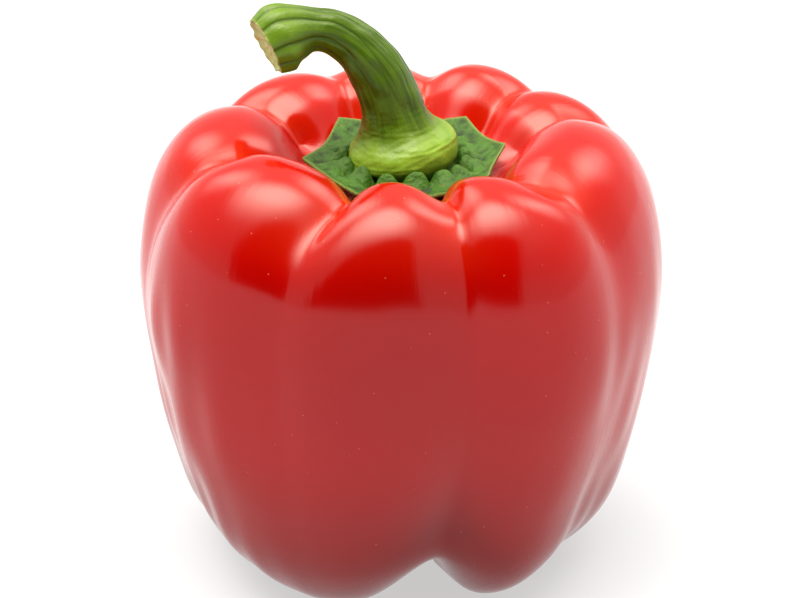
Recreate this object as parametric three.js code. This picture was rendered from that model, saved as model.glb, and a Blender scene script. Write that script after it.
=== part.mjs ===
// A blocky bell pepper, as picked: one fleshy fruit with nine rounded lobes, the calyx that sits
// in the hollow between them, and the hooked stem that grows out of the calyx. It stands on the
// feet of its lobes.
//
// Millimetres, +Z up. Azimuths are degrees counted from +X towards +Y, so the front is at 270.
import * as THREE from "three";

// ---- Fruit: driving dimensions ----

// Radius and height of a lobe's ridge: from the hollow under the calyx, up its wall, over the
// crest and the shoulder, down the side, round the foot and into the dimple at the blossom end.
const MERIDIAN = [
  [0, 73.2], [9, 73.2], [15.8, 74.7], [19, 78.5], [23.5, 83.4], [30.5, 85.6], [38.5, 82.2], [44.8, 73],
  [47.3, 58.7], [46.2, 42.2], [43.3, 25.7], [38, 10.9], [27.4, 0.3], [17, 0.2], [8, 5], [0, 7],
];

// Stations along the ridge, counted in the points above.
const FLOOR = 1.5;
const WALL = 3;
const CREST = 5;
const SHOULDER = 6.5;
const SIDE = 8.5;
const LOW = 10.5;
const FOOT = 12.3;
const TIP = 15;

// The creases between the lobes. Each one drifts in azimuth from the crest to the side to the
// foot, and its depth changes at the crest, the shoulder, the side and the foot. Its half width in
// degrees is given for its lower and its upper side, and at the foot. Its floor is more rounded on
// the side than at the crest. Five run the whole height and part the feet; the other four fade
// out below the shoulder.
const CREASES = [
  { azimuth: [283.5, 284, 283], depth: [5, 2.9, 2.2, 13], width: [13, 4, 14], rounding: 0.35 },
  { azimuth: [250.5, 241.5, 245], depth: [5, 3.4, 0.9, 0.3], width: [8, 5, 10], rounding: 0.8 },
  { azimuth: [203, 193, 206], depth: [5, 3.4, 1.2, 4.5], width: [8.6, 8.6, 15], rounding: 0.6 },
  { azimuth: [151, 153, 160], depth: [5, 3, 0.6, 0.8], width: [8.6, 8.6, 12], rounding: 0.6 },
  { azimuth: [114, 112, 112], depth: [3.5, 2, 1.8, 7], width: [8.6, 8.6, 15], rounding: 0.5 },
  { azimuth: [82, 82, 82], depth: [5, 3.4, 0.8, 0.5], width: [8.6, 8.6, 10], rounding: 0.6 },
  { azimuth: [49, 45, 42], depth: [5, 3, 2, 6], width: [8.6, 8.6, 15], rounding: 0.5 },
  { azimuth: [17, 12, 8], depth: [5, 2, 0.7, 0.8], width: [8.6, 8.6, 12], rounding: 0.6 },
  { azimuth: [315, 323, 328], depth: [5, 2.8, 0.9, 3], width: [8.6, 8.6, 14], rounding: 0.6 },
];
const WALL_CREASE_DEPTH = 4.2;
const CREST_ROUNDING = 0.35;

// How much each lobe stands out on the side, and up at the crest, over its half width in degrees.
const LOBES = [
  { azimuth: 271, reach: 0, lift: 1.4, width: 12 },
  { azimuth: 217, reach: 2.3, lift: 1.4, width: 20 },
  { azimuth: 176, reach: 1.3, lift: 0.2, width: 22 },
  { azimuth: 133, reach: 0.2, lift: 0.3, width: 22 },
  { azimuth: 98, reach: 0, lift: 0.3, width: 22 },
  { azimuth: 63, reach: 0.3, lift: 1.2, width: 22 },
  { azimuth: 33, reach: 0.3, lift: -0.4, width: 22 },
  { azimuth: 350, reach: -0.5, lift: 0.2, width: 22 },
  { azimuth: 306, reach: 2.8, lift: 0.2, width: 15 },
];

// The swell of the feet. Each swells out by its gain, over its width in degrees, and is flat
// where it meets the ground. The broad foot at the left front is the sum of two swells.
const FEET = [
  { azimuth: 246, gain: 1.6, width: 26 },
  { azimuth: 210, gain: 1.2, width: 20 },
  { azimuth: 301, gain: 4, width: 18 },
  { azimuth: 2, gain: 2.4, width: 28 },
  { azimuth: 76, gain: 2.4, width: 24 },
  { azimuth: 157, gain: 2, width: 32 },
];

// How far the lower half of the fruit leans to the side.
const LEAN = -1.2;

const FRUIT_ROWS = 45;
const FRUIT_COLUMNS = 90;

// ---- Calyx: driving dimensions ----

// Tips of the leafy star, tucked into the creases: azimuth, radius and height.
const CALYX_TIPS = [
  [13.4, 18.6, 78.6], [55, 19.8, 79.3], [127, 20, 79.2], [189.5, 18.3, 78.8],
  [244.5, 19.6, 78.2], [285.4, 19.3, 78.2], [325, 18, 78.6],
];
const RIM_SAG = 0.9;
const SEAT_RADIUS = 8.5;
const SEAT_HEIGHT = 75.4;
const CALYX_THICKNESS = 1.2;

// Puckers that ring the foot of the stem: azimuth, half width in degrees, height and length.
const PUCKERS = [
  [14, 9, 2.0, 4.5], [38, 10, 2.3, 5.0], [63, 9, 1.9, 5.5], [95, 13, 2.2, 4.0], [128, 10, 2.1, 5.0],
  [153, 9, 2.0, 5.5], [176, 9, 2.4, 5.0], [201, 11, 2.8, 6.0], [227, 10, 2.7, 5.0], [254, 10, 2.3, 3.8],
  [280, 12, 2.7, 3.8], [307, 10, 2.6, 4.6], [328, 8, 2.2, 4.2], [350, 9, 2.4, 5.0],
];

const CALYX_ROWS = 18;
const CALYX_COLUMNS = 96;

// ---- Stem: driving dimensions ----

// Centre line and radius, from the bulb that sits in the calyx, up the neck and over the bend to
// the flared end where it was cut.
const STEM_LINE = [
  [0, 0, 75.8], [-0.2, 0, 78.3], [-0.8, 0, 80.8], [-1.4, 0, 83.6], [-2.1, 0, 86.8], [-3.1, 0, 90.2],
  [-4.6, 0, 93.4], [-6.8, 0, 96.6], [-9.6, -0.1, 99.4], [-12.6, -0.4, 101.2], [-15.8, -0.9, 102.0],
  [-18.6, -1.6, 101.7], [-21.2, -2.5, 101.1], [-23.9, -3.6, 99.9],
];
const STEM_RADIUS = [7.6, 9.7, 9.4, 6.9, 5.7, 5.3, 5.0, 4.6, 4.1, 3.8, 3.8, 4.9, 6.0, 5.2];
const STEM_RIBS = 9;
const RIB_HEIGHT = 0.1;

const STEM_ROWS = 24;
const STEM_COLUMNS = 27;

// ---- Shared geometry ----

// 0 below from, 1 above to, and an even ease between them.
function ease(value, from, to) {
  const t = THREE.MathUtils.clamp((value - from) / (to - from), 0, 1);
  return t * t * (3 - 2 * t);
}

// A value that eases from one knot to the next: knots are pairs of [place, value].
function along(place, knots) {
  let value = knots[0][1];
  for (let i = 1; i < knots.length; i += 1) {
    value += (knots[i][1] - knots[i - 1][1]) * ease(place, knots[i - 1][0], knots[i][0]);
  }
  return value;
}

// The angle from one azimuth to another, in degrees from -180 to 180.
function turn(azimuth, centre) {
  return THREE.MathUtils.euclideanModulo(azimuth - centre + 180, 360) - 180;
}

// A bump of height 1 centred on an azimuth.
function bump(azimuth, centre, width) {
  const x = turn(azimuth, centre) / width;
  return Math.exp(-x * x);
}

// A point at a radius, azimuth and height.
function polar(radius, azimuth, height) {
  const angle = THREE.MathUtils.degToRad(azimuth);
  return new THREE.Vector3(radius * Math.cos(angle), radius * Math.sin(angle), height);
}

// One closed skin over rings of points. The first and last ring are single points.
function skin(rings, columns) {
  const inner = rings.slice(1, -1);
  const points = [rings[0][0], ...inner.flat(), rings.at(-1)[0]];
  const corner = (row, column) => 1 + row * columns + (column % columns);
  const last = points.length - 1;
  const faces = [];
  for (let j = 0; j < columns; j += 1) {
    faces.push(0, corner(0, j), corner(0, j + 1));
    for (let i = 0; i < inner.length - 1; i += 1) {
      faces.push(corner(i, j), corner(i + 1, j), corner(i + 1, j + 1));
      faces.push(corner(i, j), corner(i + 1, j + 1), corner(i, j + 1));
    }
    faces.push(last, corner(inner.length - 1, j + 1), corner(inner.length - 1, j));
  }
  const geometry = new THREE.BufferGeometry().setFromPoints(points);
  geometry.setIndex(faces);
  geometry.computeVertexNormals();
  return geometry;
}

// ---- Fruit ----

// How far the skin sinks into the creases at a station and azimuth.
function creaseDepth(station, azimuth) {
  let depth = 0;
  for (const crease of CREASES) {
    const [crest, side, foot] = crease.azimuth;
    const [crestDepth, shoulderDepth, sideDepth, footDepth] = crease.depth;
    const [lowerWidth, upperWidth, footWidth] = crease.width;
    const full = along(station, [
      [FLOOR, 0], [WALL, WALL_CREASE_DEPTH], [CREST, crestDepth], [SHOULDER, shoulderDepth],
      [SIDE, sideDepth], [LOW, 0.4 * (sideDepth + footDepth)], [FOOT, footDepth], [TIP, 0],
    ]);
    const away = turn(azimuth, along(station, [[CREST, crest], [SIDE - 0.5, side], [FOOT - 0.3, foot]]));
    const topWidth = away < 0 ? lowerWidth : upperWidth;
    const width = along(station, [[SIDE - 0.5, topWidth], [FOOT - 0.3, footWidth]]);
    const rounding = along(station, [[6, CREST_ROUNDING], [7.5, crease.rounding]]);
    const across = Math.hypot(away / width, rounding) - rounding;
    depth += full * Math.exp(-across);
  }
  return depth;
}

// A point of the fruit's skin.
function fruitPoint(ridge, station, azimuth) {
  const t = station / (MERIDIAN.length - 1);
  const place = ridge.getPoint(t);
  const along2d = ridge.getTangent(t);
  const onFeet = along(station, [[9, 0], [11.5, 1], [13.2, 1], [14.5, 0]]);
  const onSide = along(station, [[WALL, 0], [6, 1], [SIDE, 1], [11, 0]]);
  const onCrest = along(station, [[WALL, 0], [CREST, 1], [7, 1], [10, 0]]);
  let outward = -creaseDepth(station, azimuth);
  let reach = 0;
  let lift = 0;
  for (const foot of FEET) {
    outward += foot.gain * bump(azimuth, foot.azimuth, foot.width) * onFeet;
  }
  for (const lobe of LOBES) {
    reach += lobe.reach * bump(azimuth, lobe.azimuth, lobe.width) * onSide;
    lift += lobe.lift * bump(azimuth, lobe.azimuth, lobe.width) * onCrest;
  }
  const radius = place.x - along2d.y * outward + reach;
  const height = place.y + along2d.x * outward + lift;
  const point = polar(Math.max(radius, 0), azimuth, Math.max(height, 0));
  point.x += LEAN * ease(station, SIDE, 11);
  return point;
}

function fruit() {
  const corners = MERIDIAN.map(([radius, height]) => new THREE.Vector2(radius, height));
  const ridge = new THREE.SplineCurve(corners);
  const rings = [];
  for (let i = 0; i <= FRUIT_ROWS; i += 1) {
    const station = ((MERIDIAN.length - 1) * i) / FRUIT_ROWS;
    const ring = [];
    for (let j = 0; j < FRUIT_COLUMNS; j += 1) {
      ring.push(fruitPoint(ridge, station, (360 * j) / FRUIT_COLUMNS));
    }
    rings.push(ring);
  }
  const [, top] = MERIDIAN[0];
  const [, bottom] = MERIDIAN.at(-1);
  rings[0] = [new THREE.Vector3(0, 0, top)];
  rings[FRUIT_ROWS] = [new THREE.Vector3(LEAN, 0, bottom)];
  return skin(rings, FRUIT_COLUMNS);
}

// ---- Calyx ----

// Radius and height of the star's rim: straight from tip to tip, sagging a little between them.
function rim(azimuth) {
  const count = CALYX_TIPS.length;
  const left = CALYX_TIPS.findLastIndex(([tip]) => tip <= azimuth);
  const [a, radiusA, heightA] = CALYX_TIPS[(left + count) % count];
  const [b, radiusB, heightB] = CALYX_TIPS[(left + 1) % count];
  const span = THREE.MathUtils.degToRad(THREE.MathUtils.euclideanModulo(b - a, 360));
  const x = THREE.MathUtils.degToRad(THREE.MathUtils.euclideanModulo(azimuth - a, 360));
  const chord = (radiusA * radiusB * Math.sin(span)) / (radiusA * Math.sin(x) + radiusB * Math.sin(span - x));
  const sag = RIM_SAG * Math.sin((Math.PI * x) / span);
  return [chord - 0.8 * sag * span, heightA + ((heightB - heightA) * x) / span - sag];
}

// Height of the dish under a radius, from the seat of the stem out to the rim.
function dishHeight(radius, rimRadius, rimHeight) {
  const out = THREE.MathUtils.clamp((radius - SEAT_RADIUS) / (rimRadius - SEAT_RADIUS), 0, 1);
  return SEAT_HEIGHT + (rimHeight - SEAT_HEIGHT) * out ** 1.3;
}

// How high the leaf is folded at a radius and azimuth: up on each pucker, down between them.
function foldHeight(radius, azimuth) {
  const between = -0.9 * along(radius, [[9.6, 0], [10.6, 1], [12, 0.8], [15, 0]]);
  let raised = 0;
  for (const [centre, width, height, length] of PUCKERS) {
    const across = Math.exp(-(Math.abs(turn(azimuth, centre) / (1.12 * width)) ** 4));
    const stands = along(radius, [[9.8, 0], [10.9, 1], [11.4, 0.95], [10.4 + length, 0]]);
    raised = Math.max(raised, (height + 0.9) * across * stands);
  }
  return between + raised;
}

function calyxRing(out, isTop) {
  const ring = [];
  for (let j = 0; j < CALYX_COLUMNS; j += 1) {
    const azimuth = (360 * j) / CALYX_COLUMNS;
    const [rimRadius, rimHeight] = rim(azimuth);
    const radius = out * rimRadius;
    const raised = isTop ? foldHeight(radius, azimuth) : -CALYX_THICKNESS * (1 - 0.5 * out ** 4);
    ring.push(polar(radius, azimuth, dishHeight(radius, rimRadius, rimHeight) + raised));
  }
  return ring;
}

function calyx() {
  const rings = [[new THREE.Vector3(0, 0, SEAT_HEIGHT)]];
  for (let i = 1; i <= CALYX_ROWS; i += 1) {
    rings.push(calyxRing((i / CALYX_ROWS) ** 0.6, true));
  }
  for (const out of [1, 0.75, 0.45]) {
    rings.push(calyxRing(out, false));
  }
  rings.push([new THREE.Vector3(0, 0, SEAT_HEIGHT - CALYX_THICKNESS)]);
  return skin(rings, CALYX_COLUMNS);
}

// ---- Stem ----

function stem() {
  const line = new THREE.CatmullRomCurve3(
    STEM_LINE.map((point) => new THREE.Vector3(...point)), false, "catmullrom", 0.5,
  );
  const thickness = new THREE.SplineCurve(STEM_RADIUS.map((radius, i) => new THREE.Vector2(i, radius)));
  const back = new THREE.Vector3(0, 1, 0);
  const rings = [[line.getPoint(0)]];
  for (let i = 0; i <= STEM_ROWS; i += 1) {
    const t = i / STEM_ROWS;
    const centre = line.getPoint(t);
    const tangent = i === 0 ? new THREE.Vector3(0, 0, 1) : line.getTangent(t);
    const aside = new THREE.Vector3().crossVectors(tangent, back).normalize();
    const across = new THREE.Vector3().crossVectors(aside, tangent);
    const radius = thickness.getPoint(t).y;
    const ring = [];
    for (let j = 0; j < STEM_COLUMNS; j += 1) {
      const angle = (2 * Math.PI * j) / STEM_COLUMNS;
      const rib = Math.abs(Math.sin((angle * STEM_RIBS) / 2)) - 0.5;
      const ribbed = radius * (1 + RIB_HEIGHT * ease(t, 0.3, 0.9) * rib);
      ring.push(centre.clone()
        .addScaledVector(aside, ribbed * Math.cos(angle))
        .addScaledVector(across, ribbed * Math.sin(angle)));
    }
    rings.push(ring);
  }
  rings.push([line.getPoint(1)]);
  return skin(rings, STEM_COLUMNS);
}

// ---- The pepper ----

function piece(name, geometry, color, roughness) {
  const material = new THREE.MeshStandardMaterial({ color, roughness, metalness: 0 });
  const mesh = new THREE.Mesh(geometry, material);
  mesh.name = name;
  return mesh;
}

const pepper = new THREE.Group();
pepper.add(piece("fruit", fruit(), "#b80c0a", 0.2));
pepper.add(piece("calyx", calyx(), "#3a6424", 0.5));
pepper.add(piece("stem", stem(), "#5f7f1c", 0.35));

// The origin is on the ground under the middle of the whole pepper.
const box = new THREE.Box3().setFromObject(pepper);
const middle = box.getCenter(new THREE.Vector3());
pepper.position.set(-middle.x, -middle.y, 0);

export default pepper;
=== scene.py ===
"""A red bell pepper: the fruit, the calyx in its hollow and the hooked stem."""
import math

import bpy
import numpy as np
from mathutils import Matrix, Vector


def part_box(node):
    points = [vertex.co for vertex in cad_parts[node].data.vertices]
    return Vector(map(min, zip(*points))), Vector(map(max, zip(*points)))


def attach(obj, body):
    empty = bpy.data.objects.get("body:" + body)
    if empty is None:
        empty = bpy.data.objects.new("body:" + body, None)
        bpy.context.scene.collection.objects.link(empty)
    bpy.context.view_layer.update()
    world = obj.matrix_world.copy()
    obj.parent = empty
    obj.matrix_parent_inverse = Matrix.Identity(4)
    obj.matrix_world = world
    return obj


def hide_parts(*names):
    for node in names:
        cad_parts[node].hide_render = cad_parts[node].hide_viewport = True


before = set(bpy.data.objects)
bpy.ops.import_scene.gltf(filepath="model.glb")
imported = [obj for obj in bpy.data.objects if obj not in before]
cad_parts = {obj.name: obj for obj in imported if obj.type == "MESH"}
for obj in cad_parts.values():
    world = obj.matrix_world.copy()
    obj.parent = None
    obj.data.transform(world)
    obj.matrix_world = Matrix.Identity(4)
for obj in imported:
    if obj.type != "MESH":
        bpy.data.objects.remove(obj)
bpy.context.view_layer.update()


# ---------------------------------------------------------------------------------------------
# Studio. A pale floor inside a soft white tent. The tent has a bright panel overhead and two
# small ones behind, and it is open, and so dark, on the side where the camera looks in.
# ---------------------------------------------------------------------------------------------


def linear(colour):
    """The linear RGBA of an sRGB hex colour."""
    values = [int(colour[i:i + 2], 16) / 255 for i in (1, 3, 5)]
    curved = [v / 12.92 if v <= 0.04045 else ((v + 0.055) / 1.055) ** 2.4 for v in values]
    return (*curved, 1.0)


def add(tree, kind, inputs=None, **settings):
    """Add one node to a tree. Settings are its properties, inputs its socket values or links."""
    made = tree.nodes.new(kind)
    for name, value in settings.items():
        setattr(made, name, value)
    for name, value in (inputs or {}).items():
        if isinstance(value, bpy.types.NodeSocket):
            tree.links.new(value, made.inputs[name])
        else:
            made.inputs[name].default_value = value
    return made


# Settings of the three nodes that every material and the tent are made from: a value eased from
# one range to another, a mix of two colours, and a sum.
EASED = {"interpolation_type": "SMOOTHSTEP"}
COLOUR = {"data_type": "RGBA"}
SUM = {"operation": "ADD"}

fruit_low, fruit_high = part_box("fruit")
fruit_height = fruit_high[2] - fruit_low[2]

camera_elevation = math.radians(25)
camera_distance = 0.45
camera_target = (0, 0, fruit_low[2] + 0.579 * fruit_height)
camera_data = bpy.data.cameras.new("camera")
camera_data.lens = 110.8
camera_data.sensor_width = 36
camera_data.clip_start = 0.01
camera = bpy.data.objects.new("camera", camera_data)
camera.location = (
    0,
    -camera_distance * math.cos(camera_elevation),
    camera_target[2] + camera_distance * math.sin(camera_elevation),
)
camera_aim = Vector(camera_target) - Vector(camera.location)
camera.rotation_euler = camera_aim.to_track_quat("-Z", "Y").to_euler()
bpy.context.collection.objects.link(camera)
bpy.context.scene.camera = camera
bpy.context.scene.view_settings.view_transform = "Standard"


def tent():
    """The glow of the tent by direction. Its walls are brightest low down, and its ceiling
    brightens overhead. The opening is the part of the front between two sides. The panel
    overhead is an ellipse and the two behind are discs, and all three fade to their edges."""
    world = bpy.data.worlds.new("tent")
    world.use_nodes = True
    tree = world.node_tree
    tree.nodes.clear()
    direction = add(tree, "ShaderNodeTexCoord").outputs["Generated"]
    parts = add(tree, "ShaderNodeSeparateXYZ", {0: direction}).outputs
    forward = add(tree, "ShaderNodeMapRange", {0: parts["Y"], 1: -0.50, 2: -0.66}, **EASED)
    left = {0: parts["X"], 1: -0.88, 2: -0.74, 4: forward.outputs[0]}
    from_left = add(tree, "ShaderNodeMapRange", left, **EASED)
    right = {0: parts["X"], 1: 0.46, 2: 0.32, 4: from_left.outputs[0]}
    opening = add(tree, "ShaderNodeMapRange", right, **EASED).outputs[0]

    low = {0: parts["Z"], 1: 0.05, 2: 0.35, 3: 0.97, 4: 0.75}
    low_walls = add(tree, "ShaderNodeMapRange", low, **EASED).outputs[0]
    walls = add(tree, "ShaderNodeMapRange", {0: opening, 3: low_walls, 4: 0.0}, **EASED)
    above = add(tree, "ShaderNodeMapRange", {0: parts["Z"], 1: 0.45, 2: 0.95}, **EASED)
    ceiling = add(tree, "ShaderNodeMapRange", {0: opening, 3: above.outputs[0], 4: 0.0}, **EASED)

    middle = {0: direction, "Location": (0.12, 0.14, 0), "Scale": (1, 1, 0)}
    panel = add(tree, "ShaderNodeMapping", middle).outputs[0]
    panel = add(tree, "ShaderNodeVectorMath", {0: panel, 1: (1 / 0.56, 1 / 0.41, 0)},
                operation="MULTIPLY").outputs[0]
    reach = add(tree, "ShaderNodeVectorMath", {0: panel}, operation="LENGTH").outputs["Value"]
    bright = add(tree, "ShaderNodeMapRange", {0: reach, 1: 1.25, 2: 0.25, 4: 13.0}, **EASED)
    overhead = {0: parts["Z"], 1: 0.2, 2: 0.5, 4: bright.outputs[0]}
    overhead = add(tree, "ShaderNodeMapRange", overhead, **EASED)

    beside = add(tree, "ShaderNodeMath", {0: parts["X"]}, operation="ABSOLUTE").outputs[0]
    beside = add(tree, "ShaderNodeCombineXYZ", {0: beside, 1: parts["Y"]}).outputs[0]
    beside = add(tree, "ShaderNodeVectorMath", {0: beside, 1: (0.48, 0.45, 0)},
                 operation="DISTANCE").outputs["Value"]
    small = add(tree, "ShaderNodeMapRange", {0: beside, 1: 0.38, 2: 0.0, 4: 6.2}, **EASED)
    behind = {0: parts["Z"], 1: 0.2, 2: 0.5, 4: small.outputs[0]}
    behind = add(tree, "ShaderNodeMapRange", behind, **EASED)

    glow = walls.outputs[0]
    for more in (ceiling, overhead, behind):
        glow = add(tree, "ShaderNodeMath", {0: glow, 1: more.outputs[0]}, **SUM).outputs[0]
    high = add(tree, "ShaderNodeMapRange", {0: parts["Z"], 1: 0.5, 2: 0.8}, **EASED).outputs[0]
    warmth = {0: high, 6: linear("#FFFAF0"), 7: linear("#FFF3E2")}
    tint = add(tree, "ShaderNodeMix", warmth, **COLOUR).outputs[2]
    background = add(tree, "ShaderNodeBackground", {"Color": tint, "Strength": glow})
    add(tree, "ShaderNodeOutputWorld", {"Surface": background.outputs[0]})
    bpy.context.scene.world = world


def floor():
    """A flat sheet of white card under the pepper, 8 m across, lit from below as well."""
    half = 4.0
    corners = [(-half, -half, 0), (half, -half, 0), (half, half, 0), (-half, half, 0)]
    mesh = bpy.data.meshes.new("floor")
    mesh.from_pydata(corners, [], [(0, 1, 2, 3)])
    card = bpy.data.materials.new("white card")
    card.use_nodes = True
    shader = card.node_tree.nodes["Principled BSDF"]
    shader.inputs["Base Color"].default_value = linear("#80868E")
    shader.inputs["Roughness"].default_value = 0.9
    shader.inputs["Specular IOR Level"].default_value = 0.1
    shader.inputs["Emission Color"].default_value = linear("#FFFFFF")
    shader.inputs["Emission Strength"].default_value = 0.56
    mesh.materials.append(card)
    made = bpy.data.objects.new("floor", mesh)
    bpy.context.collection.objects.link(made)


tent()
floor()


# ---------------------------------------------------------------------------------------------
# Fruit. The fleshy red berry, grown as one piece: nine rounded lobes with creases between them,
# a hollow at the top for the calyx, and feet round the dimple at the blossom end.
# ---------------------------------------------------------------------------------------------

MM = 0.001

# Radius and height in mm of a lobe's ridge: out of the hollow, over the crest and the shoulder,
# down the side, round the foot and into the dimple. A station is a place on this ridge, counted
# in these points from 0.
RIDGE = [
    (0, 73.2), (9, 73.2), (15.8, 74.7), (19, 78.5), (23.5, 83.4), (30.5, 85.6), (38.5, 82.2),
    (44.8, 73), (47.3, 58.7), (46.2, 42.2), (43.3, 25.7), (38.0, 10.9), (27.4, 0.3), (17, 0.2),
    (8, 5), (0, 7),
]
FLOOR = 1.5
WALL = 3
CREST = 5
SIDE = 8.5
LOW = 10.5
FOOT = 12.3
TIP = 15

# Each crease: its azimuth at the crest, the side and the foot; its depth in mm at the crest, the
# shoulder, the side and the foot; its half width in degrees on its lower and its upper side, and
# at the foot; how rounded its floor is on the side; and the stations of its shoulder and side
# depths.
CREASES = [
    ((283.5, 284, 283), (5.0, 2.9, 2.2, 13.0), (13, 4, 14), 0.35, (6.5, 8.5)),
    ((250.5, 241.5, 245), (5.0, 4.6, 1.5, 0.3), (8, 5, 10), 0.8, (5.7, 7.4)),
    ((203, 193, 206), (5.0, 3.4, 1.2, 4.5), (8.6, 8.6, 15), 0.6, (6.5, 8.5)),
    ((151, 153, 160), (5.0, 3.0, 0.6, 0.8), (8.6, 8.6, 12), 0.6, (6.5, 8.5)),
    ((114, 112, 112), (3.5, 2.0, 1.8, 7.0), (8.6, 8.6, 15), 0.5, (6.5, 8.5)),
    ((82, 82, 82), (5.0, 3.4, 0.8, 0.5), (8.6, 8.6, 10), 0.6, (6.5, 8.5)),
    ((49, 45, 42), (5.0, 3.0, 2.0, 6.0), (8.6, 8.6, 15), 0.5, (6.5, 8.5)),
    ((17, 12, 8), (5.0, 2.0, 0.7, 0.8), (8.6, 8.6, 12), 0.6, (6.5, 8.5)),
    ((315, 323, 328), (5.0, 2.8, 0.9, 3.0), (8.6, 8.6, 14), 0.6, (6.5, 8.5)),
]
WALL_CREASE_DEPTH = 4.2
CREST_ROUNDING = 0.35

# Each lobe: its azimuth, how far it stands out on the side, its lift at the crest in mm, and its
# half width in degrees.
LOBES = [
    (271, 0.0, 1.4, 12), (217, 2.3, 1.4, 20), (176, 1.3, 0.2, 22), (133, 0.2, 0.3, 22),
    (98, 0.0, 0.3, 22), (63, 0.3, 1.2, 22), (33, 0.3, -0.4, 22), (350, -0.5, 0.2, 22),
    (306, 2.8, 0.2, 15),
]

# Each foot: its azimuth, its gain in mm and its half width in degrees.
FEET = [(246, 1.6, 26), (210, 1.2, 20), (301, 4.0, 18), (2, 2.4, 28), (76, 2.4, 24), (157, 2.0, 32)]

# How far in mm the lower half leans to the side, and the height of the ripples in the skin.
LEAN = -1.2
RIPPLE = 0.06
DENT = 0.5


def spline(points, at):
    """Points on a smooth curve through the given ones: at runs from 0 at the first to 1 at the
    last, and each stretch is a cubic whose end slopes are half the step between its neighbours."""
    points = np.asarray(points, float)
    place = np.asarray(at) * (len(points) - 1)
    i = np.clip(place.astype(int), 0, len(points) - 2)
    t = (place - i)[..., None]
    before, start = points[np.maximum(i - 1, 0)], points[i]
    end, after = points[i + 1], points[np.minimum(i + 2, len(points) - 1)]
    leave, arrive = (end - before) / 2, (after - start) / 2
    cubed = (2 * start - 2 * end + leave + arrive) * t ** 3
    squared = (3 * end - 3 * start - 2 * leave - arrive) * t ** 2
    return cubed + squared + leave * t + start


def ease(value, start, end):
    """0 before start, 1 after end and an even ease between them."""
    t = np.clip((value - start) / (end - start), 0, 1)
    return t * t * (3 - 2 * t)


def along(place, knots):
    """A value that eases from one knot to the next. Knots are pairs of place and value."""
    value = np.full(np.shape(place), float(knots[0][1]))
    for (start, low), (end, high) in zip(knots, knots[1:]):
        value = value + (high - low) * ease(place, start, end)
    return value


def turn(azimuth, centre):
    """The angle from a centre to an azimuth, from -180 to 180 degrees."""
    return (azimuth - centre + 180) % 360 - 180


def bump(azimuth, centre, width):
    """A rounded rise of height 1 round a centre azimuth."""
    return np.exp(-(turn(azimuth, centre) / width) ** 2)


def wander(points, size):
    """A smooth uneven value of about -0.5 to 0.5: the mean of six sine waves through the points,
    whose directions spread over a half sphere and whose lengths are near a size in mm."""
    total = np.zeros(points.shape[:-1])
    for wave in range(6):
        tilt = np.arccos(1 - (wave + 0.5) / 6)
        spin = wave * 2.4
        flat = np.sin(tilt)
        direction = np.array([flat * np.cos(spin), flat * np.sin(spin), np.cos(tilt)])
        length = size * (0.75 + 0.12 * wave)
        total += np.sin(points @ direction * 2 * np.pi / length + 1.7 * wave)
    return total / 6


def crease_depth(station, azimuth):
    """How far the skin sinks: the sum over the creases of each one's depth at that station,
    times e to the minus the angle from its middle over its width, rounded at the middle."""
    sunk = np.zeros_like(azimuth)
    for azimuths, depths, widths, rounding, (shoulder, side_station) in CREASES:
        crest, side, foot = azimuths
        crest_depth, shoulder_depth, side_depth, foot_depth = depths
        lower_width, upper_width, foot_width = widths
        low_depth = 0.4 * (side_depth + foot_depth)
        depth = along(station, [
            (FLOOR, 0), (WALL, WALL_CREASE_DEPTH), (CREST, crest_depth), (shoulder, shoulder_depth),
            (side_station, side_depth), (LOW, low_depth), (FOOT, foot_depth), (TIP, 0),
        ])
        away = turn(azimuth, along(station, [(CREST, crest), (8, side), (12, foot)]))
        top_width = np.where(away < 0, lower_width, upper_width)
        width = top_width + (foot_width - top_width) * ease(station, 8, 12)
        rounded = CREST_ROUNDING + (rounding - CREST_ROUNDING) * ease(station, 6, 7.5)
        sunk += depth * np.exp(rounded - np.hypot(away / width, rounded))
    return sunk


def fruit_surface(rows, columns):
    """The skin as a grid of points, in mm. A point starts on the ridge curve, turned to its
    azimuth. It sinks along the curve's normal by the depth of the creases and swells along it
    with its foot. It then moves out and up with its lobe, and aside with the lean, and ripples.
    Returns the points and how deep each one lies in a crease."""
    ridge = spline(RIDGE, np.linspace(0, 1, rows))
    slope = np.gradient(ridge, axis=0)
    slope /= np.linalg.norm(slope, axis=1, keepdims=True)
    azimuth, station = np.meshgrid(np.arange(columns) / columns * 360,
                                   np.linspace(0, len(RIDGE) - 1, rows))
    sunk = crease_depth(station, azimuth)
    outward = -sunk
    on_feet = along(station, [(9, 0), (11.5, 1), (13.2, 1), (14.5, 0)])
    for centre, gain, width in FEET:
        outward += gain * bump(azimuth, centre, width) * on_feet
    radius = ridge[:, :1] - slope[:, 1:] * outward
    height = ridge[:, 1:] + slope[:, :1] * outward
    on_side = along(station, [(WALL, 0), (6, 1), (SIDE, 1), (11, 0)])
    on_crest = along(station, [(WALL, 0), (CREST, 1), (7, 1), (10, 0)])
    for centre, reach, lift, width in LOBES:
        near = bump(azimuth, centre, width)
        radius += reach * near * on_side
        height += lift * near * on_crest
    girth = np.stack([azimuth * 0.8, height * 0.3, height * 0], -1)
    dented = bump(azimuth, 208, 20) + 0.35 * bump(azimuth, 330, 18)
    dented *= along(station, [(7, 0), (SIDE, 1), (11, 1), (12, 0)])
    radius += (DENT * dented + RIPPLE) * wander(girth, 6) * ease(station, 4, 6)
    radius = np.maximum(radius, 0)
    radius[0] = radius[-1] = 0
    angle = np.radians(azimuth)
    points = np.stack([radius * np.cos(angle), radius * np.sin(angle), np.maximum(height, 0)], -1)
    points[..., 0] += LEAN * ease(station, SIDE, 11)
    points[0, :, 2] = RIDGE[0][1]
    points[-1, :, 2] = RIDGE[-1][1]
    return points, sunk


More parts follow.
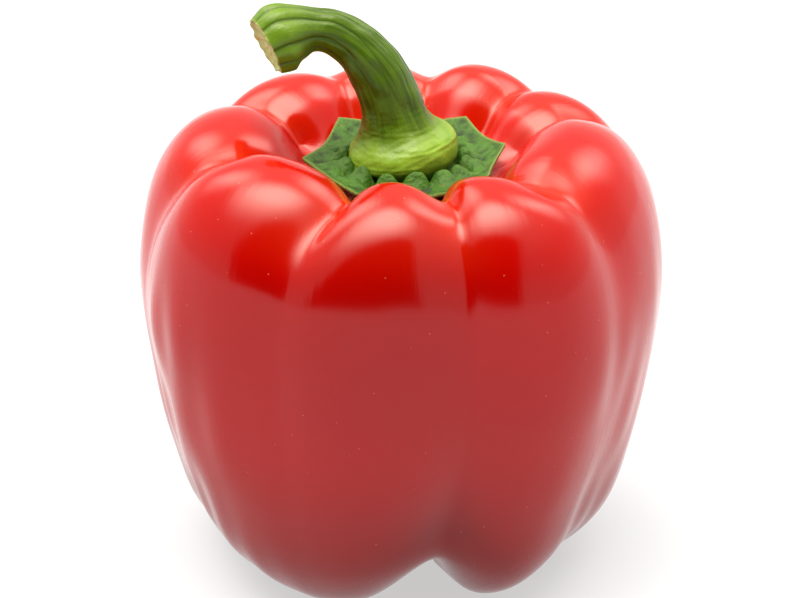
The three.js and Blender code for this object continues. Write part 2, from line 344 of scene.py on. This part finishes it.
def closed_mesh(name, points, attributes=None):
    """A mesh over a grid of rings, in mm, whose first and last ring are each one point. It gets
    a UV map, once round and once along, and a value per point for each named attribute."""
    rows, columns = points.shape[:2]
    corners = np.concatenate([points[0, :1], points[1:-1].reshape(-1, 3), points[-1, :1]])
    ring = np.arange((rows - 2) * columns).reshape(rows - 2, columns) + 1
    beside = np.roll(ring, -1, axis=1)
    quads = np.stack([ring[:-1], ring[1:], beside[1:], beside[:-1]], -1).reshape(-1, 4)
    last = len(corners) - 1
    top = np.stack([np.zeros(columns, int), ring[0], beside[0]], -1)
    bottom = np.stack([np.full(columns, last), beside[-1], ring[-1]], -1)
    mesh = bpy.data.meshes.new(name)
    mesh.from_pydata((corners * MM).tolist(), [], quads.tolist() + top.tolist() + bottom.tolist())

    u = np.arange(columns) / columns
    u_next = u + 1 / columns
    v = np.linspace(0, 1, rows)
    left, upper = np.meshgrid(u, v[1:-2])
    right, lower = np.meshgrid(u_next, v[2:-1])
    quad_uv = np.stack([left, upper, left, lower, right, lower, right, upper], -1)
    middle = (u + u_next) / 2
    zeros = np.zeros(columns)
    top_uv = np.stack([middle, zeros, u, zeros + v[1], u_next, zeros + v[1]], -1)
    bottom_uv = np.stack([middle, zeros + 1, u_next, zeros + v[-2], u, zeros + v[-2]], -1)
    uv = np.concatenate([quad_uv.reshape(-1), top_uv.reshape(-1), bottom_uv.reshape(-1)])
    mesh.uv_layers.new(name="skin").data.foreach_set("uv", uv)
    for label, values in (attributes or {}).items():
        flat = np.concatenate([values[0, :1], values[1:-1].reshape(-1), values[-1, :1]])
        mesh.attributes.new(label, "FLOAT", "POINT").data.foreach_set("value", flat)
    mesh.shade_smooth()
    mesh.update()
    return mesh


def pepper_skin():
    """Ripe pepper skin: a smooth wax over deep red flesh. It is glossy and saturated, orange in the
    creases by the calyx, with painted shade making it a deeper red in front and darker towards the
    bottom and low in the creases, very fine ribs down the sides and a few pale pores about 3 mm
    apart."""
    material = bpy.data.materials.new("waxy pepper skin")
    material.use_nodes = True
    tree = material.node_tree
    shader = tree.nodes["Principled BSDF"]
    coordinates = add(tree, "ShaderNodeTexCoord").outputs
    blotches = add(tree, "ShaderNodeTexNoise",
                   {"Vector": coordinates["Object"], "Scale": 1 / (22 * MM), "Detail": 3.0})
    reds = {0: blotches.outputs[0], 6: linear("#A20000"), 7: linear("#AE0100")}
    red = add(tree, "ShaderNodeMix", reds, **COLOUR).outputs[2]
    # front and low are painted shade: they darken the red in front, and towards the bottom and low
    # in the creases.
    for name, colour in (("front", "#8A0200"), ("low", "#7C0000"), ("warm", "#A41A02")):
        amount = add(tree, "ShaderNodeAttribute", attribute_name=name).outputs["Fac"]
        red = add(tree, "ShaderNodeMix", {0: amount, 6: red, 7: linear(colour)}, **COLOUR).outputs[2]
    cells = add(tree, "ShaderNodeTexVoronoi",
                {"Vector": coordinates["Object"], "Scale": 1 / (3 * MM)}).outputs["Distance"]
    pore = add(tree, "ShaderNodeMapRange", {0: cells, 1: 0.055, 2: 0.03, 4: 0.22}, **EASED)
    red = add(tree, "ShaderNodeMix", {0: pore.outputs[0], 6: red, 7: linear("#F0A080")}, **COLOUR)
    tree.links.new(red.outputs[2], shader.inputs["Base Color"])
    ribs = add(tree, "ShaderNodeVectorMath", {0: coordinates["UV"], 1: (260, 7, 1)},
               operation="MULTIPLY").outputs[0]
    fine = add(tree, "ShaderNodeTexNoise", {"Vector": ribs, "Scale": 1.0, "Detail": 3.0})
    relief = add(tree, "ShaderNodeBump",
                 {"Height": fine.outputs[0], "Strength": 1.0, "Distance": 0.03 * MM})
    tree.links.new(relief.outputs[0], shader.inputs["Normal"])
    shader.inputs["Roughness"].default_value = 0.15
    shader.inputs["IOR"].default_value = 1.41
    return material


def put(name, mesh, material, node):
    """Put a finished mesh in the scene in place of its CAD node."""
    mesh.materials.append(material)
    piece = bpy.data.objects.new(name, mesh)
    bpy.context.collection.objects.link(piece)
    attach(piece, "root")
    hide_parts(node)


# The skin is fitted inside the fruit's box, and centred on it.
FRUIT_ROWS = 220
FRUIT_COLUMNS = 440
fruit_points, fruit_sunk = fruit_surface(FRUIT_ROWS, FRUIT_COLUMNS)
own_low, own_high = fruit_points.reshape(-1, 3).min(0), fruit_points.reshape(-1, 3).max(0)
cad_low, cad_high = np.array(fruit_low) / MM, np.array(fruit_high) / MM
trim = np.minimum(1, 0.9998 * (cad_high - cad_low) / (own_high - own_low))
fruit_points *= trim
shift = (cad_low + cad_high) / 2 - trim * (own_low + own_high) / 2
shift[2] = 0

heights = fruit_points[..., 2]
in_crease = np.clip(fruit_sunk / 5, 0, 1)
# Painted shade: the skin facing the camera is darkened, most of all high up.
front_painted_shade = bump(np.arange(FRUIT_COLUMNS) / FRUIT_COLUMNS * 360, 262, 52)
outside = ease(np.arange(FRUIT_ROWS)[:, None] / (FRUIT_ROWS - 1), 0.2, 0.3)
# Painted shade: the red darkens towards the bottom and low in the creases.
low_painted_shade = 0.55 * ease(heights, 45, 5) + in_crease * ease(heights, 40, 10)
skin_values = {
    "front": front_painted_shade * (0.3 + 0.7 * ease(heights, 40, 72)),
    "low": np.clip(low_painted_shade, 0, 1) * outside,
    "warm": in_crease * ease(heights, 70, 80),
}
put("fruit_skin", closed_mesh("fruit_skin", fruit_points + shift, skin_values), pepper_skin(),
    "fruit")


# ---------------------------------------------------------------------------------------------
# Calyx. The dull green leafy star left from the flower. It lies in the fruit's hollow with its
# tips in the creases, and is gathered into puckers round the foot of the stem.
# ---------------------------------------------------------------------------------------------

# Tips of the star: azimuth, radius and height in mm.
TIPS = [
    (13.4, 18.6, 78.6), (55, 19.8, 79.3), (127, 20.0, 79.2), (189.5, 18.3, 78.8),
    (244.5, 19.6, 78.2), (285.4, 19.3, 78.2), (325, 18.0, 78.6),
]
RIM_SAG = 0.9
SEAT_RADIUS = 8.5
SEAT_HEIGHT = 75.4
CALYX_THICKNESS = 1.2
POCKET_DEPTH = 0.9
# Puckers: azimuth and half width in degrees, height and length in mm.
PUCKERS = [
    (14, 9, 2.0, 4.5), (38, 10, 2.3, 5.0), (63, 9, 1.9, 5.5), (95, 13, 2.2, 4.0),
    (128, 10, 2.1, 5.0), (153, 9, 2.0, 5.5), (176, 9, 2.4, 5.0), (201, 11, 2.8, 6.0),
    (227, 10, 2.7, 5.0), (254, 10, 2.3, 3.8), (280, 12, 2.7, 3.8), (307, 10, 2.6, 4.6),
    (328, 8, 2.2, 4.2), (350, 9, 2.4, 5.0),
]


def rim(azimuth):
    """Radius and height of the rim: straight from tip to tip, sagging in the middle."""
    tips = np.array(TIPS + [(TIPS[0][0] + 360, *TIPS[0][1:])])
    place = (azimuth - tips[0, 0]) % 360 + tips[0, 0]
    i = np.clip(np.searchsorted(tips[:, 0], place, side="right") - 1, 0, len(TIPS) - 1)
    start, end = tips[i], tips[i + 1]
    span = np.radians(end[..., 0] - start[..., 0])
    x = np.radians(place - start[..., 0])
    chord = (start[..., 1] * end[..., 1] * np.sin(span)
             / (start[..., 1] * np.sin(x) + end[..., 1] * np.sin(span - x)))
    sag = RIM_SAG * np.sin(np.pi * x / span)
    height = start[..., 2] + (end[..., 2] - start[..., 2]) * x / span - sag
    return chord - 0.8 * sag * span, height


def calyx_surface(rows, columns):
    """The leaf as a grid of points, in mm: out along its top from the centre to the rim, and
    back underneath. The top is a shallow dish. Each pucker is a rounded fold across its azimuth
    that stands up steeply at the stem and runs out towards the rim, with a pocket on each side.
    Returns the points, how high each one is folded and how near the rim it is."""
    top = np.linspace(0, 1, rows) ** 0.6
    under = np.array([0.998, 0.98, 0.93, 0.85, 0.7, 0.5, 0.0])
    azimuth, out = np.meshgrid(np.arange(columns) / columns * 360, np.concatenate([top, under]))
    rim_radius, rim_height = rim(azimuth)
    radius = out * rim_radius
    spread = np.clip((radius - SEAT_RADIUS) / (rim_radius - SEAT_RADIUS), 0, 1)
    dish = SEAT_HEIGHT + (rim_height - SEAT_HEIGHT) * spread ** 1.3
    folded = -POCKET_DEPTH * along(radius, [(9.6, 0), (10.6, 1), (12, 0.8), (15, 0)])
    for centre, width, height, length in PUCKERS:
        across = np.exp(-(np.abs(turn(azimuth, centre)) / (1.12 * width)) ** 4)
        lip = 1 + 0.18 * np.cos(np.clip((radius - 10.9) * 2.4, -3.1, 3.1))
        stands = along(radius, [(9.3, 0), (10.4, 1), (11.2, 0.95), (10.4 + length, 0)])
        folded = np.maximum(folded, folded + (height * lip + POCKET_DEPTH) * across * stands)
    angle = np.radians(azimuth)
    x, y = radius * np.cos(angle), radius * np.sin(angle)
    flat = np.stack([x, y, 0 * radius], -1)
    crinkled = 0.45 * wander(flat, 3.2) + 0.22 * wander(flat, 1.3)
    crinkled *= along(radius, [(9.5, 0), (11, 1)]) * ease(out, 1.0, 0.9)
    is_top = np.arange(len(out))[:, None] < rows
    thickness = CALYX_THICKNESS * (1 - 0.45 * out ** 6)
    height = dish + np.where(is_top, folded + crinkled, -thickness)
    # fold also sets the painted light and shade of the leaf: paler on the raised folds, darker in
    # the pockets.
    fold = np.clip(folded / 3 + 0.45 + crinkled, 0, 1)
    return np.stack([x, y, height], -1), fold, ease(out, 0.965, 0.995)


def calyx_leaf():
    """Calyx leaf: a dull green, paler on the folds with painted light, dark in the pockets between
    them with painted shade, with a thin pale edge, crinkles under 1 mm apart and a few brown specks."""
    material = bpy.data.materials.new("crinkled calyx leaf")
    material.use_nodes = True
    tree = material.node_tree
    shader = tree.nodes["Principled BSDF"]
    coordinates = add(tree, "ShaderNodeTexCoord").outputs["Object"]
    mottle = add(tree, "ShaderNodeTexNoise",
                 {"Vector": coordinates, "Scale": 1 / (2 * MM), "Detail": 5.0}).outputs[0]
    # Painted shade for the pockets and painted light for the raised folds, mixed by the fold height.
    darks = {0: mottle, 6: linear("#0A1C04"), 7: linear("#16300C")}
    dark = add(tree, "ShaderNodeMix", darks, **COLOUR).outputs[2]
    lit_fold_greens = {0: mottle, 6: linear("#183A08"), 7: linear("#44701C")}
    lit_fold_green = add(tree, "ShaderNodeMix", lit_fold_greens, **COLOUR).outputs[2]
    fold = add(tree, "ShaderNodeAttribute", attribute_name="fold").outputs["Fac"]
    high = add(tree, "ShaderNodeMapRange", {0: fold, 1: 0.1, 2: 0.6}, **EASED).outputs[0]
    green = add(tree, "ShaderNodeMix", {0: high, 6: dark, 7: lit_fold_green}, **COLOUR).outputs[2]
    edge = add(tree, "ShaderNodeAttribute", attribute_name="edge").outputs["Fac"]
    thin = add(tree, "ShaderNodeMapRange", {0: edge, 4: 0.5}).outputs[0]
    green = add(tree, "ShaderNodeMix", {0: thin, 6: green, 7: linear("#7A8A44")}, **COLOUR)
    specks = add(tree, "ShaderNodeTexNoise",
                 {"Vector": coordinates, "Scale": 1 / (1.6 * MM), "Detail": 1.0}).outputs[0]
    brown = add(tree, "ShaderNodeMapRange", {0: specks, 1: 0.70, 2: 0.78, 4: 0.6}, **EASED)
    browned = {0: brown.outputs[0], 6: green.outputs[2], 7: linear("#6B5A34")}
    green = add(tree, "ShaderNodeMix", browned, **COLOUR).outputs[2]
    tree.links.new(green, shader.inputs["Base Color"])
    crinkles = add(tree, "ShaderNodeTexNoise",
                   {"Vector": coordinates, "Scale": 1 / (0.7 * MM), "Detail": 3.0}).outputs[0]
    relief = add(tree, "ShaderNodeBump",
                 {"Height": crinkles, "Strength": 1.0, "Distance": 0.35 * MM})
    tree.links.new(relief.outputs[0], shader.inputs["Normal"])
    shader.inputs["Roughness"].default_value = 0.55
    shader.inputs["Specular IOR Level"].default_value = 0.25
    return material


calyx_points, fold, edge = calyx_surface(130, 540)
put("calyx_leaf", closed_mesh("calyx_leaf", calyx_points + shift, {"fold": fold, "edge": edge}),
    calyx_leaf(), "calyx")


# ---------------------------------------------------------------------------------------------
# Stem. The thick green stalk, cut from the plant: a wide bulb in the calyx, a neck, a hook to
# the left and a ribbed flare that ends in the pale cut face.
# ---------------------------------------------------------------------------------------------

# Centre line and radius in mm, from the bulb to the cut.
STEM = [
    (0, 0, 75.8, 7.8), (-0.2, 0, 78.2, 9.8), (-0.8, 0, 80.8, 9.4), (-1.4, 0, 83.6, 6.9),
    (-2.1, 0, 86.8, 5.7), (-3.1, 0, 90.2, 5.3), (-4.6, 0, 93.4, 5.0), (-6.8, 0, 96.6, 4.6),
    (-9.6, -0.1, 99.4, 4.1), (-12.6, -0.4, 101.2, 3.8), (-15.8, -0.9, 101.8, 3.8),
    (-18.6, -1.6, 101.6, 4.9), (-21.2, -2.5, 101.0, 5.95), (-23.9, -3.6, 99.8, 5.2),
]
RIBS = 11
RIB_HEIGHT = 0.10
# The closed foot: the part of the first ring's radius that each ring inside it has.
FOOT_RINGS = (0.0, 0.6, 0.95)
# The cut face: the part of the last ring's radius that each ring has, and how far in mm it sinks.
CUT_RINGS = ((0.985, -0.25), (0.93, 0.15), (0.8, 0.5), (0.55, 0.7), (0.3, 0.8), (0.0, 0.8))


def stem_surface(rows, columns):
    """The stalk as a grid of points, in mm: rings carried along the centre line, closed by the
    cut face. A ring swells between grooves by the sine of its angle, more towards the cut. Fine
    wrinkles cross the bulb, and slow lumps run along the stalk. The cut is torn a little.
    Returns the points, how deep each one lies in a groove, how far along it is, and whether it
    is on the cut face."""
    at = np.linspace(0, 1, rows)
    line = spline(STEM, at)
    centre, radius = line[:, :3], line[:, 3]
    forward = np.gradient(centre, axis=0)
    forward[0] = (0, 0, 1)
    forward /= np.linalg.norm(forward, axis=1, keepdims=True)
    aside = np.cross(forward, (0, 1, 0))
    aside /= np.linalg.norm(aside, axis=1, keepdims=True)
    across = np.cross(aside, forward)
    angle = np.arange(columns) / columns * 2 * np.pi
    warped = angle + 0.16 * np.sin(2 * angle + 0.6) + 0.5 * ease(at, 0.3, 0.75)[:, None]
    swell = np.abs(np.sin(warped * RIBS / 2))
    amount = along(at, [(0.2, 0), (0.45, 0.3), (0.8, 1)])[:, None]
    spoke = np.cos(angle)[:, None] * aside[:, None] + np.sin(angle)[:, None] * across[:, None]
    round_bulb = spoke[..., :2] * radius[:, None, None] * 0.35
    girth = np.concatenate([round_bulb, (centre[:, 2:] + 0 * angle)[..., None]], -1)
    on_bulb = along(at, [(0.03, 0), (0.1, 1), (0.22, 1), (0.4, 0)])[:, None]
    wrinkles = (0.07 * wander(girth, 0.9) + 0.1 * wander(girth * 1.7, 2.1)) * on_bulb
    lumps = 0.3 * wander(spoke * radius[:, None, None] + centre[:, None], 5)
    lumps *= ease(at, 0, 0.2)[:, None]
    ribs = 1 + RIB_HEIGHT * amount * (swell ** 0.6 - 0.7)
    ribbed = radius[:, None] * ribs + wrinkles + lumps
    side = centre[:, None] + ribbed[..., None] * spoke
    foot = [centre[0] + (side[0] - centre[0]) * inner for inner in FOOT_RINGS]
    torn = 0.35 * wander(side[-1], 2.2)[:, None] * forward[-1]
    cut = []
    for inner, sunk in CUT_RINGS:
        flat_ring = centre[-1] + (side[-1] - centre[-1]) * inner
        cut.append(flat_ring - forward[-1] * sunk + torn * min(1, 3 * inner))
    points = np.concatenate([foot, side, cut])
    before = len(FOOT_RINGS)
    groove = np.zeros(points.shape[:2])
    groove[before:before + rows] = amount * (1 - swell) ** 4
    length = np.concatenate([np.zeros(before), at, np.ones(len(cut))])[:, None] + 0 * groove
    face = np.zeros_like(groove)
    face[before + rows:] = 1
    return points, groove, length, face


def stalk():
    """Pepper stalk: satin green. The bulb is pale lime, the neck dark green with lighter fibres,
    the ridges by the cut are green with painted shade in the grooves, and the cut is dry and beige.
    The fibres and a pebbled grain just under 1 mm across give it a fine relief."""
    material = bpy.data.materials.new("fibrous green stalk")
    material.use_nodes = True
    tree = material.node_tree
    shader = tree.nodes["Principled BSDF"]
    coordinates = add(tree, "ShaderNodeTexCoord").outputs
    mottle = add(tree, "ShaderNodeTexNoise",
                 {"Vector": coordinates["Object"], "Scale": 1 / (4 * MM), "Detail": 4.0}).outputs[0]
    streaks = add(tree, "ShaderNodeVectorMath", {0: coordinates["UV"], 1: (34, 5, 1)},
                  operation="MULTIPLY").outputs[0]
    fibre = add(tree, "ShaderNodeTexNoise",
                {"Vector": streaks, "Scale": 1.0, "Detail": 5.0}).outputs[0]
    length = add(tree, "ShaderNodeAttribute", attribute_name="length").outputs["Fac"]
    bulb = {0: mottle, 6: linear("#4E7A10"), 7: linear("#8CAE3A")}
    lime = add(tree, "ShaderNodeMix", bulb, **COLOUR).outputs[2]
    ridges = {0: mottle, 6: linear("#42600C"), 7: linear("#66881E")}
    flare = add(tree, "ShaderNodeMix", ridges, **COLOUR).outputs[2]
    upper = add(tree, "ShaderNodeMapRange", {0: length, 1: 0.5, 2: 0.8}, **EASED).outputs[0]
    lime = add(tree, "ShaderNodeMix", {0: upper, 6: lime, 7: flare}, **COLOUR).outputs[2]
    lighter = add(tree, "ShaderNodeMapRange", {0: fibre, 1: 0.3, 2: 0.7}, **EASED).outputs[0]
    darks = {0: lighter, 6: linear("#2E4800"), 7: linear("#486604")}
    dark = add(tree, "ShaderNodeMix", darks, **COLOUR).outputs[2]
    neck = add(tree, "ShaderNodeMapRange", {0: length, 1: 0.12, 2: 0.30}, **EASED).outputs[0]
    neck = add(tree, "ShaderNodeMapRange", {0: length, 1: 0.95, 2: 0.70, 4: neck}, **EASED)
    green = add(tree, "ShaderNodeMix", {0: neck.outputs[0], 6: lime, 7: dark}, **COLOUR).outputs[2]
    # Painted shade: the grooves between the ridges are darkened.
    groove = add(tree, "ShaderNodeAttribute", attribute_name="groove").outputs["Fac"]
    deep = add(tree, "ShaderNodeMapRange", {0: groove, 2: 0.6, 4: 0.6}, **EASED).outputs[0]
    green = add(tree, "ShaderNodeMix", {0: deep, 6: green, 7: linear("#2C4206")}, **COLOUR)
    face = add(tree, "ShaderNodeAttribute", attribute_name="face").outputs["Fac"]
    beiges = {0: mottle, 6: linear("#999A4C"), 7: linear("#CECC84")}
    dry = add(tree, "ShaderNodeMix", beiges, **COLOUR).outputs[2]
    green = add(tree, "ShaderNodeMix", {0: face, 6: green.outputs[2], 7: dry}, **COLOUR).outputs[2]
    tree.links.new(green, shader.inputs["Base Color"])
    fibrous = add(tree, "ShaderNodeBump", {"Height": fibre, "Strength": 1.0, "Distance": 0.12 * MM})
    pebbles = add(tree, "ShaderNodeTexNoise", {
        "Vector": coordinates["Object"], "Scale": 1 / (0.9 * MM), "Detail": 2.0}).outputs[0]
    relief = add(tree, "ShaderNodeBump", {"Height": pebbles, "Strength": 1.0,
                                          "Distance": 0.10 * MM, "Normal": fibrous.outputs[0]})
    tree.links.new(relief.outputs[0], shader.inputs["Normal"])
    shader.inputs["IOR"].default_value = 1.35
    shader.inputs["Roughness"].default_value = 0.34
    return material


stem_points, groove, length, face = stem_surface(260, 240)
stem_values = {"groove": groove, "length": length, "face": face}
put("stem_stalk", closed_mesh("stem_stalk", stem_points + shift, stem_values), stalk(),
    "stem")
